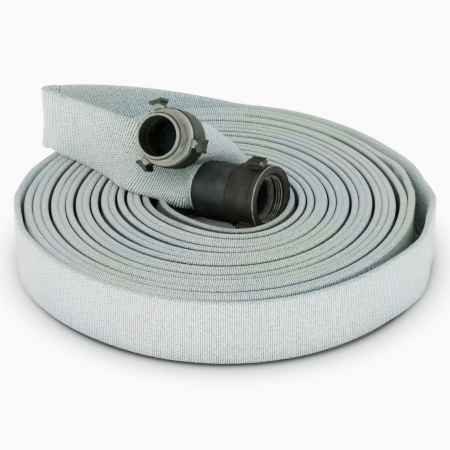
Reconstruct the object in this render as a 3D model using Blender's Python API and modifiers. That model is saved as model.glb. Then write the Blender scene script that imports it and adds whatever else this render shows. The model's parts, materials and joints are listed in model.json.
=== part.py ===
"""Rolled fire hose: 50 ft (15.24 m) of flat double-jacket hose with 1 1/2 in rocker-lug couplings.

Metres, +Z up. The roll stands on z = 0 and its hole is on the Z axis. From the female coupling the
hose crosses the roll on edge, folds at the back left, sinks to the outside of the roll and winds
clockwise inward. At the left of the hole it turns back in a hairpin, runs anticlockwise inside the
hole and rises into the male coupling. A coupling is modelled with its tail at z = 0 and its face
towards +Z, and its empty then turns it to its place.
"""

import math

import bmesh
import bpy
from mathutils import Matrix, Vector

MM = 0.001
GAP = 0.3 * MM
UP = Vector((0, 0, 1))
SIDEWAYS = Vector((1, 0, 0))

# Hose, laid flat
HOSE_WIDTH = 70 * MM
HOSE_THICKNESS = 6.4 * MM
HOSE_GIRTH = 146 * MM
LEVEL_Z = HOSE_WIDTH / 2 + 0.5 * MM

# Roll: centreline radii, and turns counted inward from the bend at the back left
BEND_ANGLE = 150
ROLL_OUTER_RADIUS = 215 * MM
TIGHT_PITCH = 7.4 * MM
ROUND_TURN = 0.8
LOOSE_TURNS = 2.6
LOOSE_SLACK = 20.2 * MM
STEPS_PER_TURN = 32
RISE_ANGLE = 74
ROLL_STEPS = 502
LEAD_RADIUS = 75.0 * MM
LEAD_START_ANGLE = 205
LEAD_START_STEPS = 3
HAIRPIN_STEPS = 6
ROLL_OVAL = 0.975
ROLL_DRIFT = 6.4 * MM
HOLE_SHIFT = 1.5 * MM
PINCH_SIZE = 13 * MM
PINCH_DEPTH = 72 * MM
PINCH_ANGLE = 232
PINCH_HALF_ANGLE = 80
HOLE_CENTRE = Vector((-1.3, -7.2, 0)) * MM
JOINT_GAP = 0.6

# Outer end, rising along the back to the bend
BEND_RADIUS = 219.5 * MM
BEND_CENTRE_Z = 108 * MM
RISE_POWER = 1.25
RISE_DELAY = 0.13
RISE_STEPS = 9

# Outer end from the bend to the tail: x, y, z of its middle, lean from level in degrees, half thickness
STRAP_ROUTE = (
    (-187.5, 119, 108.0, 90, 3.2),
    (-190, 110.5, 108.0, 90, 3.2),
    (-185, 103.5, 108.3, 89, 3.2),
    (-168, 90, 107.8, 86, 3.2),
    (-149, 76, 107.2, 84, 3.2),
    (-123, 55.5, 105.5, 78, 3.2),
    (-100, 41, 101.5, 61, 3.2),
    (-81, 33, 90.5, 34, 4.6),
    (-63, 30.5, 79, 14, 7.2),
    (-46, 28.5, 70, 8, 12.6),
)

# Inner end from the hole's back right to the tail: the same five values
LEAD_RISE_ANGLE = 420
LEAD_LEVEL_STEPS = 12
LEAD_ROUTE = (
    (20, 71, 38, 90, 3.2),
    (7, 72.5, 45, 90, 4),
    (-3, 71.3, 57, 88, 5.8),
    (-10, 68.8, 71, 80, 8.8),
    (-16.5, 65.8, 85.3, 62, 12.2),
    (-25, 61.3, 99, 40, 16.8),
    (-33, 55, 107.7, 25, 21.3),
)

# Last stretch, straight into a bowl: depth past the tail, half thickness
TAIL_SHAPE = ((-13, 23), (-3, 25.2), (4, 25.8), (18, 25.8), (34.2, 25.8))

ROUTE_SPACING = 11 * MM

# Couplings: middle of the tail, direction from tail to face, turn of the first lug from the top
FEMALE_TAIL = Vector((-19, 20, 71)) * MM
FEMALE_AXIS = Vector((0.822, -0.552, 0.147))
FEMALE_TAIL_LEAN = 15
FEMALE_LUG_TURN = 0
MALE_TAIL = Vector((-46, 36, 119.5)) * MM
MALE_AXIS = Vector((-0.39, -0.78, 0.49))
MALE_TAIL_LEAN = 15
MALE_LUG_TURN = 30
TURNED_STEPS = 32
SECTION_STEPS = 8
EDGE = 0.8 * MM

# Hose end inside a bowl, radii from the outside in
POCKET_RADIUS = 26.3 * MM
JACKET_RADIUS = 26.0 * MM
JACKET_WALL = 0.7 * MM
INNER_JACKET_RADIUS = 24.2 * MM
INNER_JACKET_WALL = 1.0 * MM
INNER_START = 5 * MM
LINER_RADIUS = 22.9 * MM
LINER_WALL = 0.7 * MM
RING_RADIUS = 21.9 * MM
WATERWAY_RADIUS = 20.9 * MM
POCKET_DEPTH = 38 * MM
HOSE_DEPTH = 34.2 * MM
TAIL_GASKET_THICKNESS = 3.2 * MM
RING_LENGTH = 27 * MM
POCKET_LEAD_IN = Vector((0.7, 1.2)) * MM
# How a bowl narrows to its tail: below its radius, height above the tail
BOWL_NOSE = ((0.8, 4.0), (2.0, 0.8), (2.8, 0.0))

# Female coupling
BOWL_RADIUS = 31 * MM
BOWL_LENGTH = 43 * MM
BOWL_NOSE_END = 14 * MM
NECK_RADIUS = 27.2 * MM
NECK_END = 62 * MM
NECK_EDGE = 1 * MM
SWIVEL_START = 43.5 * MM
SWIVEL_BORE_RADIUS = 27.5 * MM
SWIVEL_RADIUS = 34 * MM
SWIVEL_EDGE = 1.5 * MM
SWIVEL_FACE_RADIUS = 35.4 * MM
SWIVEL_FACE_EDGE = 1.2 * MM
SWIVEL_FACE_LENGTH = 7 * MM
SWIVEL_FACE_BLEND = 2 * MM
FEMALE_LENGTH = 81 * MM
BALL_COUNT = 24
BALL_RADIUS = 3.0 * MM
BALL_PITCH_RADIUS = 27.35 * MM
BALL_RACE_Z = 52 * MM
PLUG_TURN = 60
PLUG_RADIUS = 3.6 * MM
PLUG_SIDES = 16
PLUG_HOLE_LENGTH = 12 * MM
PLUG_CLEARANCE = 0.5 * MM
SOCKET_RADIUS = 1.5 * MM
SOCKET_DEPTH = 2 * MM
SOCKET_LENGTH = 4 * MM
SOCKET_SIDES = 6
GASKET_SEAT_RADIUS = 26.3 * MM
GASKET_THICKNESS = 4.4 * MM
SEAT_CLEARANCE = 0.2 * MM

# Thread, 1 1/2 in national hose: drawn as rings at its real pitch and depth
THREAD_PITCH = 25.4 / 9 * MM
# Ends of a ring's root, of its rise and of its crest, in pitches
THREAD_ROOT_END = 0.15
THREAD_CREST = (0.45, 0.65)
FEMALE_THREAD_INSET = Vector((1.5, 2.2)) * MM
MALE_THREAD_INSET = Vector((1.5, 3.0)) * MM
FEMALE_THREAD_MAJOR = 25.5 * MM
FEMALE_THREAD_MINOR = 23.8 * MM
MALE_THREAD_MAJOR = 25.25 * MM
MALE_THREAD_MINOR = 23.6 * MM

# Male coupling
MALE_BOWL_RADIUS = 31 * MM
MALE_BOWL_END = 33 * MM
MALE_BOWL_STEP = 1.5 * MM
MALE_NOSE_END = 12 * MM
MALE_FLANGE_RADIUS = 29.6 * MM
MALE_FLANGE_END = 39 * MM
MALE_LENGTH = 57 * MM

# Rocker lugs
LUG_COUNT = 3
LUG_EDGE = 0.8 * MM
LUG_FOOT = 29 * MM
# Half of a lug's outline: depth below its tip, half width
LUG_OUTLINE = ((5.6, 4.0), (4.4, 4.6), (3.9, 6.9), (3.0, 7.4), (0.8, 7.4), (0, 6.6), (0.5, 3.0))
FEMALE_LUG_TIP = 43.5 * MM
FEMALE_LUG_START = 60 * MM
FEMALE_LUG_END = 78 * MM
MALE_LUG_TIP = 41 * MM
MALE_LUG_START = 20 * MM
MALE_LUG_END = 38.6 * MM


# ---------------------------------------------------------------- scene and materials


def clear_scene():
    for obj in list(bpy.data.objects):
        bpy.data.objects.remove(obj, do_unlink=True)


def make_collection(name):
    collection = bpy.data.collections.new(name)
    bpy.context.scene.collection.children.link(collection)
    return collection


def make_material(name, colour, roughness, metallic):
    material = bpy.data.materials.new(name)
    material.use_nodes = True
    shader = material.node_tree.nodes["Principled BSDF"]
    shader.inputs["Base Color"].default_value = (*colour, 1)
    shader.inputs["Roughness"].default_value = roughness
    shader.inputs["Metallic"].default_value = metallic
    return material


def add_object(name, mesh, material, parent=None, collection=None):
    mesh.materials.append(material)
    obj = bpy.data.objects.new(name, mesh)
    (collection or parts).objects.link(obj)
    obj.parent = parent or roll_frame
    return obj


def mesh_from(bm, name):
    bmesh.ops.recalc_face_normals(bm, faces=bm.faces)
    mesh = bpy.data.meshes.new(name)
    bm.to_mesh(mesh)
    bm.free()
    mesh.shade_smooth()
    mesh.set_sharp_from_angle(angle=math.radians(35))
    return mesh


def add_empty(name, location, axis, up, parent=None):
    """An empty whose +Z points along axis, with its +X as near to up as it can be."""
    z = axis.normalized()
    x = (up - z * up.dot(z)).normalized()
    empty = bpy.data.objects.new(name, None)
    turn = Matrix((x, z.cross(x), z)).transposed()
    empty.matrix_world = Matrix.Translation(location) @ turn.to_4x4()
    empty.parent = parent
    parts.objects.link(empty)
    return empty


# ---------------------------------------------------------------- hose routes


def pinch(radius, degrees):
    """How far the turns near the hole are pressed in at its front left."""
    share = min(max(1 - (radius - LEAD_RADIUS) / PINCH_DEPTH, 0), 1)
    off = abs((degrees - PINCH_ANGLE + 180) % 360 - 180) / PINCH_HALF_ANGLE
    return PINCH_SIZE * share**2 * (3 - 2 * share) * (0.5 + 0.5 * math.cos(math.pi * min(off, 1)))


def on_circle(radius, degrees, z=0.0):
    """A point of a turn: turns are slightly oval, drift back from the hole and are pinched near it."""
    angle = math.radians(degrees)
    outward = (radius - LEAD_RADIUS) / (ROLL_OUTER_RADIUS - LEAD_RADIUS)
    pressed = radius - pinch(radius, degrees)
    x = pressed * math.cos(angle) - HOLE_SHIFT * (1 - outward)
    y = ROLL_OVAL * pressed * math.sin(angle) + ROLL_DRIFT * outward
    return Vector((x, y, z))


def coil_radius(turn):
    """Centreline radius after so many turns inward from the bend.

    The outermost turn is a circle, the next ones are loose, and the rest are packed tight.
    """
    wound = max(turn - ROUND_TURN, 0)
    slack = 1 - (1 - min(wound / LOOSE_TURNS, 1)) ** 2
    return ROLL_OUTER_RADIUS - TIGHT_PITCH * wound - LOOSE_SLACK * slack


def coil_turn(step):
    return (BEND_ANGLE - RISE_ANGLE) / 360 + step / STEPS_PER_TURN


def roll_route():
    """The wound stretch, the hairpin at its inner end and the first of the lead, from the outside in."""
    route = []
    for step in range(ROLL_STEPS + 1):
        turn = coil_turn(step)
        route.append(on_circle(coil_radius(turn), BEND_ANGLE - 360 * turn))
    last_angle = BEND_ANGLE - 360 * coil_turn(ROLL_STEPS)
    last_radius = coil_radius(coil_turn(ROLL_STEPS))
    last, turned = on_circle(last_radius, last_angle), on_circle(LEAD_RADIUS, last_angle)
    middle, outward = (last + turned) / 2, (last - turned) / 2
    forward = Vector((outward.y, -outward.x, 0))
    for step in range(1, HAIRPIN_STEPS):
        angle = math.pi * step / HAIRPIN_STEPS
        route.append(middle + outward * math.cos(angle) + forward * math.sin(angle))
    start = last_angle % 360
    for step in range(LEAD_START_STEPS + 1):
        angle = start + (LEAD_START_ANGLE - start) * step / LEAD_START_STEPS
        route.append(on_circle(LEAD_RADIUS, angle))
    return route


def rise_route():
    """The outer end from the roll's back to the bend, as five-value points."""
    points = []
    for step in range(RISE_STEPS):
        share = step / (RISE_STEPS - 0.5)
        angle = RISE_ANGLE + (BEND_ANGLE - RISE_ANGLE) * share + (0 if step else JOINT_GAP / 2)
        radius = coil_radius(coil_turn(0))
        radius += (BEND_RADIUS - radius) * share
        risen = max(share - RISE_DELAY, 0) / (1 - RISE_DELAY)
        z = LEVEL_Z + (BEND_CENTRE_Z - LEVEL_Z) * risen**RISE_POWER
        points.append((*on_circle(radius, angle, z), math.pi / 2, HOSE_THICKNESS / 2))
    return points


def level_lead_route():
    """The lead from the hairpin to where it starts to rise, as five-value points."""
    points = []
    for step in range(LEAD_LEVEL_STEPS + 1):
        angle = LEAD_START_ANGLE + (LEAD_RISE_ANGLE - LEAD_START_ANGLE) * step / LEAD_LEVEL_STEPS
        angle += JOINT_GAP if step == 0 else 0
        place = on_circle(LEAD_RADIUS, angle, LEVEL_Z)
        points.append((*place, math.pi / 2, HOSE_THICKNESS / 2))
    return points


def hand_route(rows):
    """A hand-set route, given in millimetres and degrees, as five-value points."""
    return [(x * MM, y * MM, z * MM, math.radians(lean), half * MM) for x, y, z, lean, half in rows]


def tail_route(tail, axis, lean):
    """The last points, straight along the coupling's axis into its bowl."""
    z = axis.normalized()
    points = []
    for depth, half in TAIL_SHAPE:
        points.append((*(tail + z * depth * MM), math.radians(lean), half * MM))
    return points


def catmull_rom(points, spacing):
    """Points read at about even spacing from a smooth curve through every given point."""
    rows = [points[0]] + list(points) + [points[-1]]
    curve = [points[0]]
    for before, start, end, after in zip(rows, rows[1:], rows[2:], rows[3:]):
        steps = max(1, round((Vector(end[:3]) - Vector(start[:3])).length / spacing))
        for step in range(1, steps + 1):
            t = step / steps
            row = []
            for a, b, c, d in zip(before, start, end, after):
                bend = (2 * a - 5 * b + 4 * c - d) * t + (3 * b - a - 3 * c + d) * t * t
                row.append(0.5 * (2 * b + (c - a) * t + bend * t))
            curve.append(tuple(row))
    return curve


# ---------------------------------------------------------------- hose solids


def make_roll():
    """The wound hose: an upright strip of its width, given its thickness by Solidify."""
    bm = bmesh.new()
    low = [bm.verts.new(point) for point in roll_route()]
    high = [bm.verts.new(vert.co + Vector((0, 0, HOSE_WIDTH))) for vert in low]
    for i in range(len(low) - 1):
        bm.faces.new((low[i], low[i + 1], high[i + 1], high[i]))
    mesh = bpy.data.meshes.new("hose_roll")
    bm.to_mesh(mesh)
    bm.free()
    roll = add_object("hose_roll", mesh, jacket)
    solid = roll.modifiers.new("thickness", "SOLIDIFY")
    solid.thickness = HOSE_THICKNESS
    solid.offset = 0
    solid.use_even_offset = True
    return roll


def stadium(half_width, radius):
    """A flattened ring: two half circles joined by straight sides."""
    straight = max(half_width - radius, 0.1 * MM)
    ring = []
    for side in (1, -1):
        for step in range(SECTION_STEPS + 1):
            angle = math.pi * (step / SECTION_STEPS - 0.5) + (0 if side > 0 else math.pi)
            ring.append((side * straight + radius * math.cos(angle), radius * math.sin(angle)))
    return ring


def section_ring(bm, row, tangent, inset):
    """One cross-section of the hose; inset is how far it lies inside the outer surface."""
    middle, lean, half = Vector(row[:3]), row[3], row[4]
    left = UP.cross(tangent).normalized()
    across = math.cos(lean) * left + math.sin(lean) * tangent.cross(left)
    normal = tangent.cross(across)
    half_width = (HOSE_GIRTH - 2 * math.pi * half) / 4 + half
    verts = []
    for x, y in stadium(max(half_width, half) - inset, half - inset):
        verts.append(bm.verts.new(middle + x * across + y * normal))
    return verts


def bridge(bm, ring_a, ring_b):
    count = len(ring_a)
    for i in range(count):
        j = (i + 1) % count
        bm.faces.new((ring_a[i], ring_a[j], ring_b[j], ring_b[i]))


def make_hose_end(name, route, open_from):
    """A loft along the route: flat and solid first, round and hollow from open_from to its end."""
    bm = bmesh.new()
    tangents = []
    for i in range(len(route)):
        ahead = Vector(route[min(i + 1, len(route) - 1)][:3])
        behind = Vector(route[max(i - 1, 0)][:3])
        tangents.append((ahead - behind).normalized())
    outer = [section_ring(bm, row, tangent, 0) for row, tangent in zip(route, tangents)]
    inner = []
    for row, tangent in list(zip(route, tangents))[open_from:]:
        inner.append(section_ring(bm, row, tangent, JACKET_WALL))
    for rings in (outer, inner):
        for ring_a, ring_b in zip(rings, rings[1:]):
            bridge(bm, ring_a, ring_b)
    bm.faces.new(outer[0])
    bm.faces.new(inner[0])
    bridge(bm, outer[-1], inner[-1])
    return add_object(name, mesh_from(bm, name), jacket)


def make_hose_ends():
    female_tail = tail_route(FEMALE_TAIL, FEMALE_AXIS, FEMALE_TAIL_LEAN)
    male_tail = tail_route(MALE_TAIL, MALE_AXIS, MALE_TAIL_LEAN)
    outer_route = catmull_rom(rise_route() + hand_route(STRAP_ROUTE) + female_tail, ROUTE_SPACING)
    inner_route = catmull_rom(level_lead_route() + hand_route(LEAD_ROUTE) + male_tail, ROUTE_SPACING)
    make_hose_end("hose_outer_end", outer_route, len(outer_route) - 5)
    make_hose_end("hose_inner_end", inner_route, len(inner_route) - 5)


# ---------------------------------------------------------------- turned pieces


def make_turned(name, profile, material, parent):
    """A turned ring: profile is a closed outline of (radius, z), down its outer side first."""
    bm = bmesh.new()
    verts = [bm.verts.new((radius, 0, z)) for radius, z in profile]
    for i in range(len(verts)):
        bm.edges.new((verts[i], verts[(i + 1) % len(verts)]))
    mesh = bpy.data.meshes.new(name)
    bm.to_mesh(mesh)
    bm.free()
    obj = add_object(name, mesh, material, parent)
    screw = obj.modifiers.new("turn", "SCREW")
    screw.steps = TURNED_STEPS
    screw.render_steps = TURNED_STEPS
    screw.use_merge_vertices = True
    screw.merge_threshold = 0.00001
    return obj


def make_tube(name, outer, inner, low, high, material, parent):
    profile = ((outer, high), (outer, low), (inner, low), (inner, high))
    return make_turned(name, profile, material, parent)


def half_round(radius, z, groove_radius, side, steps=6):
    """Points of a ball groove cut in a cylinder of this radius, from its top to its bottom."""
    offset = radius - BALL_PITCH_RADIUS
    opening = math.acos(side * offset / groove_radius)
    points = []
    for step in range(steps + 1):
        angle = opening - 2 * opening * step / steps
        reach = groove_radius * math.cos(angle)
        points.append((BALL_PITCH_RADIUS + side * reach, z + groove_radius * math.sin(angle)))
    return points


def thread_rings(low, high, root, crest):
    """Thread points from high to low: root and crest by turns, half a pitch apart."""
    count = int((high - low) / THREAD_PITCH)
    points = []
    for i in range(count):
        top = high - i * THREAD_PITCH
        points.append((root, top))
        points.append((root, top - THREAD_ROOT_END * THREAD_PITCH))
        points.append((crest, top - THREAD_CREST[0] * THREAD_PITCH))
        points.append((crest, top - THREAD_CREST[1] * THREAD_PITCH))
    points.append((root, high - count * THREAD_PITCH))
    return points


def lug_mesh(name, tip, start, end, turn):
    """A rocker lug: a T-shaped bar along the coupling, on a neck that reaches into its ring."""
    half = [(LUG_FOOT, LUG_OUTLINE[0][1] * MM)]
    half += [(tip - depth * MM, width * MM) for depth, width in LUG_OUTLINE]
    outline = half + [(x, -y) for x, y in reversed(half)]
    bm = bmesh.new()
    rings = []
    for z, inset in ((start, LUG_EDGE), (start + LUG_EDGE, 0), (end - LUG_EDGE, 0), (end, LUG_EDGE)):
        ring = []
        for x, y in outline:
            height = x if x == LUG_FOOT else x - inset
            ring.append(bm.verts.new((height, y - math.copysign(inset, y), z)))
        rings.append(ring)
    for ring_a, ring_b in zip(rings, rings[1:]):
        bridge(bm, ring_a, ring_b)
    bm.faces.new(rings[0])
    bm.faces.new(rings[-1])
    bmesh.ops.rotate(bm, verts=bm.verts, matrix=Matrix.Rotation(math.radians(turn), 3, "Z"))
    return mesh_from(bm, name)


def add_tool(name, mesh, parent):
    tool = add_object(name, mesh, hard_coat, parent, cutters)
    tool.hide_render = True
    tool.display_type = "WIRE"
    return tool


def add_boolean(obj, tool, operation):
    boolean = obj.modifiers.new(tool.name, "BOOLEAN")
    boolean.object = tool
    boolean.operation = operation
    boolean.solver = "EXACT"


def add_lugs(obj, prefix, tip, start, end, first_turn, parent):
    for i in range(LUG_COUNT):
        name = f"{prefix}_lug_{i + 1}"
        mesh = lug_mesh(name, tip, start, end, first_turn + 360 * i / LUG_COUNT)
        add_boolean(obj, add_tool(name, mesh, parent), "UNION")


def cylinder_mesh(name, radius, start, length, steps):
    """A cylinder along +X from start, for the radial plug and its hole."""
    bm = bmesh.new()
    bmesh.ops.create_cone(
        bm, cap_ends=True, segments=steps, radius1=radius, radius2=radius, depth=length,
        matrix=Matrix.Translation((start + length / 2, 0, 0)) @ Matrix.Rotation(math.pi / 2, 4, "Y"),
    )
    return mesh_from(bm, name)


# ---------------------------------------------------------------- couplings


def make_tail_fittings(prefix, parent):
    """What holds the hose in a bowl: the jacket and liner ends, the tail gasket, the brass ring."""
    ring_low = HOSE_DEPTH - RING_LENGTH
    make_tube(f"{prefix}_inner_jacket_end", INNER_JACKET_RADIUS, INNER_JACKET_RADIUS - INNER_JACKET_WALL,
              INNER_START, HOSE_DEPTH, inner_weave, parent)
    make_tube(f"{prefix}_liner_end", LINER_RADIUS, LINER_RADIUS - LINER_WALL,
              INNER_START, HOSE_DEPTH, rubber, parent)
    make_tube(f"{prefix}_expansion_ring", RING_RADIUS, WATERWAY_RADIUS,
              ring_low, HOSE_DEPTH, brass, parent)
    make_tube(f"{prefix}_tail_gasket", JACKET_RADIUS, WATERWAY_RADIUS,
              HOSE_DEPTH + GAP, HOSE_DEPTH + GAP + TAIL_GASKET_THICKNESS, rubber, parent)


def tail_profile(bowl_radius, nose_end):
    """The last of a bowl's outline: round its nose and back up the pocket that holds the hose."""
    nose = [(bowl_radius - depth * MM, height * MM) for depth, height in BOWL_NOSE]
    return [
        (bowl_radius, nose_end),
        *nose,
        (POCKET_RADIUS + POCKET_LEAD_IN.x, 0),
        (POCKET_RADIUS, POCKET_LEAD_IN.y),
        (POCKET_RADIUS, POCKET_DEPTH),
        (WATERWAY_RADIUS, POCKET_DEPTH),
    ]


def make_female_bowl(parent):
    groove = half_round(NECK_RADIUS, BALL_RACE_Z, BALL_RADIUS + GAP, -1)
    profile = [
        (WATERWAY_RADIUS, NECK_END),
        (NECK_RADIUS - NECK_EDGE, NECK_END),
        (NECK_RADIUS, NECK_END - NECK_EDGE),
        *groove,
        (NECK_RADIUS, BOWL_LENGTH),
        (BOWL_RADIUS - EDGE, BOWL_LENGTH),
        (BOWL_RADIUS, BOWL_LENGTH - EDGE),
        *tail_profile(BOWL_RADIUS, BOWL_NOSE_END),
    ]
    make_turned("female_bowl", profile, hard_coat, parent)


def make_female_swivel(parent):
    groove = half_round(SWIVEL_BORE_RADIUS, BALL_RACE_Z, BALL_RADIUS + GAP, 1)
    neck_clear = NECK_END + GAP
    seat_low = neck_clear + SEAT_CLEARANCE
    seat_high = neck_clear + GASKET_THICKNESS + GAP
    thread = thread_rings(seat_high + FEMALE_THREAD_INSET.x, FEMALE_LENGTH - FEMALE_THREAD_INSET.y,
                          FEMALE_THREAD_MAJOR, FEMALE_THREAD_MINOR)
    face_start = FEMALE_LENGTH - SWIVEL_FACE_LENGTH
    profile = [
        (SWIVEL_FACE_RADIUS - SWIVEL_FACE_EDGE, FEMALE_LENGTH),
        (SWIVEL_FACE_RADIUS, FEMALE_LENGTH - SWIVEL_FACE_EDGE),
        (SWIVEL_FACE_RADIUS, face_start),
        (SWIVEL_RADIUS, face_start - SWIVEL_FACE_BLEND),
        (SWIVEL_RADIUS, SWIVEL_START + SWIVEL_EDGE),
        (SWIVEL_RADIUS - SWIVEL_EDGE, SWIVEL_START),
        (SWIVEL_BORE_RADIUS, SWIVEL_START),
        *reversed(groove),
        (SWIVEL_BORE_RADIUS, seat_low),
        (GASKET_SEAT_RADIUS, seat_low),
        (GASKET_SEAT_RADIUS, seat_high),
        (FEMALE_THREAD_MAJOR, seat_high + 2 * GAP),
        *reversed(thread),
        (FEMALE_THREAD_MAJOR + SWIVEL_FACE_EDGE, FEMALE_LENGTH - SWIVEL_FACE_EDGE),
        (FEMALE_THREAD_MAJOR + 2 * SWIVEL_FACE_EDGE, FEMALE_LENGTH),
    ]
    swivel = make_turned("female_swivel", profile, hard_coat, parent)
    add_lugs(swivel, "female", FEMALE_LUG_TIP, FEMALE_LUG_START, FEMALE_LUG_END, FEMALE_LUG_TURN,
             parent)
    place = Matrix.Translation((0, 0, BALL_RACE_Z))
    turn = Matrix.Rotation(math.radians(PLUG_TURN), 4, "Z")
    hole = cylinder_mesh("plug_hole", PLUG_RADIUS, BALL_PITCH_RADIUS, PLUG_HOLE_LENGTH, PLUG_SIDES)
    hole.transform(place @ turn)
    add_boolean(swivel, add_tool("plug_hole", hole, parent), "DIFFERENCE")
    start = BALL_PITCH_RADIUS + BALL_RADIUS + PLUG_CLEARANCE
    length = SWIVEL_RADIUS - start - GAP
    plug = cylinder_mesh("ball_race_plug", PLUG_RADIUS - GAP, start, length, PLUG_SIDES)
    plug.transform(place @ turn)
    plug_object = add_object("ball_race_plug", plug, steel, parent)
    floor = SWIVEL_RADIUS - SOCKET_DEPTH
    socket = cylinder_mesh("plug_socket", SOCKET_RADIUS, floor, SOCKET_LENGTH, SOCKET_SIDES)
    socket.transform(place @ turn)
    add_boolean(plug_object, add_tool("plug_socket", socket, parent), "DIFFERENCE")
    make_tube("swivel_gasket", GASKET_SEAT_RADIUS - GAP, WATERWAY_RADIUS,
              seat_low, neck_clear + GASKET_THICKNESS, rubber, parent)


def make_balls(parent):
    bm = bmesh.new()
    bmesh.ops.create_uvsphere(bm, u_segments=8, v_segments=6, radius=BALL_RADIUS)
    ball_mesh = mesh_from(bm, "swivel_ball")
    ball_mesh.materials.append(steel)
    for i in range(BALL_COUNT):
        angle = 2 * math.pi * i / BALL_COUNT
        ball = bpy.data.objects.new(f"swivel_ball_{i + 1:02d}", ball_mesh)
        x, y = BALL_PITCH_RADIUS * math.cos(angle), BALL_PITCH_RADIUS * math.sin(angle)
        ball.location = (x, y, BALL_RACE_Z)
        ball.parent = parent
        parts.objects.link(ball)


def make_male_coupling(parent):
    thread = thread_rings(MALE_FLANGE_END + MALE_THREAD_INSET.x, MALE_LENGTH - MALE_THREAD_INSET.y,
                          MALE_THREAD_MINOR, MALE_THREAD_MAJOR)
    profile = [
        (WATERWAY_RADIUS, MALE_LENGTH),
        (MALE_THREAD_MINOR - EDGE, MALE_LENGTH),
        (MALE_THREAD_MINOR, MALE_LENGTH - EDGE),
        *thread,
        (MALE_THREAD_MINOR, MALE_FLANGE_END),
        (MALE_FLANGE_RADIUS - EDGE, MALE_FLANGE_END),
        (MALE_FLANGE_RADIUS, MALE_FLANGE_END - EDGE),
        (MALE_FLANGE_RADIUS, MALE_BOWL_END + MALE_BOWL_STEP),
        (MALE_BOWL_RADIUS - EDGE, MALE_BOWL_END),
        (MALE_BOWL_RADIUS, MALE_BOWL_END - MALE_BOWL_STEP),
        *tail_profile(MALE_BOWL_RADIUS, MALE_NOSE_END),
    ]
    male = make_turned("male_coupling", profile, hard_coat, parent)
    add_lugs(male, "male", MALE_LUG_TIP, MALE_LUG_START, MALE_LUG_END, MALE_LUG_TURN, parent)


clear_scene()
parts = make_collection("rolled_fire_hose")
cutters = make_collection("cutters")
jacket = make_material("woven_jacket", (0.62, 0.63, 0.58), 0.9, 0)
inner_weave = make_material("inner_weave", (0.55, 0.54, 0.48), 0.9, 0)
hard_coat = make_material("hard_coat", (0.09, 0.09, 0.075), 0.45, 0.6)
rubber = make_material("rubber", (0.02, 0.02, 0.02), 0.7, 0)
brass = make_material("brass", (0.72, 0.52, 0.22), 0.35, 1)
steel = make_material("steel", (0.6, 0.6, 0.6), 0.25, 1)

roll_frame = add_empty("roll_frame", HOLE_CENTRE, UP, SIDEWAYS)
make_roll()
make_hose_ends()
female_frame = add_empty("female_frame", FEMALE_TAIL, FEMALE_AXIS, UP, roll_frame)
male_frame = add_empty("male_frame", MALE_TAIL, MALE_AXIS, UP, roll_frame)
make_female_bowl(female_frame)
make_female_swivel(female_frame)
make_balls(female_frame)
make_male_coupling(male_frame)
for side, frame in (("female", female_frame), ("male", male_frame)):
    make_tail_fittings(side, frame)
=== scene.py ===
"""Looks of the rolled fire hose: the long woven hose, two couplings, the studio and the camera.

Lengths are metres, except along the hose's route. Its points are millimetres in the hole's frame,
whose Z axis is the middle of the roll's hole, and its angles are degrees. A row of the route is
x, y, z, lean and half thickness. A lean of 90 is a hose on edge, and 0 a hose that lies flat.
"""

import json
import math

import bmesh
import bpy
import numpy as np
from mathutils import Matrix, Vector


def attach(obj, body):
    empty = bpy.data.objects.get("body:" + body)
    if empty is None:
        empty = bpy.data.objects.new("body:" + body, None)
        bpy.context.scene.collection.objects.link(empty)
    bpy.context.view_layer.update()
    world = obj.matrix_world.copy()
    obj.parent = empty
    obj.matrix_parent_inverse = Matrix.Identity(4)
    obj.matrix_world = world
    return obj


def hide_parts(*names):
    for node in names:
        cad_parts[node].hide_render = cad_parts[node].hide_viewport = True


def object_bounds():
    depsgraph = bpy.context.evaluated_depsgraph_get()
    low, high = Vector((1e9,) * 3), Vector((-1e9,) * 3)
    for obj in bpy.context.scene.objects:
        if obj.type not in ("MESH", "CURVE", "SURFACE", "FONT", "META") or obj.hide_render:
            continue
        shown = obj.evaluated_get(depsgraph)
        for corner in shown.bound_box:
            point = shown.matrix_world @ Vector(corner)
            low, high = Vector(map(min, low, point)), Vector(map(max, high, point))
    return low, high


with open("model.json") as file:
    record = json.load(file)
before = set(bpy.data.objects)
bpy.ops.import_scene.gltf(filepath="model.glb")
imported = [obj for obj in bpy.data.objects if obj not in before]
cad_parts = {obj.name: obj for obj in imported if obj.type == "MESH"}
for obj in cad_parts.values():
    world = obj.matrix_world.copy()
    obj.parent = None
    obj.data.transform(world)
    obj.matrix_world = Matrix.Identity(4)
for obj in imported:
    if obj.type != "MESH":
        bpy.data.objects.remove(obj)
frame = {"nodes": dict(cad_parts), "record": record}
cad_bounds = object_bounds()

MM = 0.001
TWO_PI = 2 * math.pi
UP = Vector((0, 0, 1))
JOINTS = {joint["name"]: joint for joint in frame["record"]["behaviour"]["joints"]}
MOUNTS = {mount["name"]: mount for mount in frame["record"]["mounts"]}

# Sizes shared with the CAD. The female tail is in the hole's frame, the rest in a coupling's own
HOSE_GIRTH = 146 * MM
FEMALE_TAIL = Vector((-19, 20, 71)) * MM
BALL_RACE_Z = 52 * MM
MALE_LIP = Vector((-21.9 * MM, 0, 57 * MM))


def coupling_matrix(origin, axis):
    """A coupling's frame: tail at its origin, face towards +Z, +X as near to up as it can be."""
    z = Vector(axis).normalized()
    x = (UP - z * z.z).normalized()
    turn = Matrix((x, z.cross(x), z)).transposed().to_4x4()
    return Matrix.Translation(origin) @ turn


spin = JOINTS["swivel_spin"]
female_axis = Vector(spin["axis"]).normalized()
female_tail = Vector(spin["pos_m"]) - female_axis * BALL_RACE_Z
female_matrix = coupling_matrix(female_tail, female_axis)
hole_centre = female_tail - FEMALE_TAIL
hole_centre.z = 0

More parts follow.
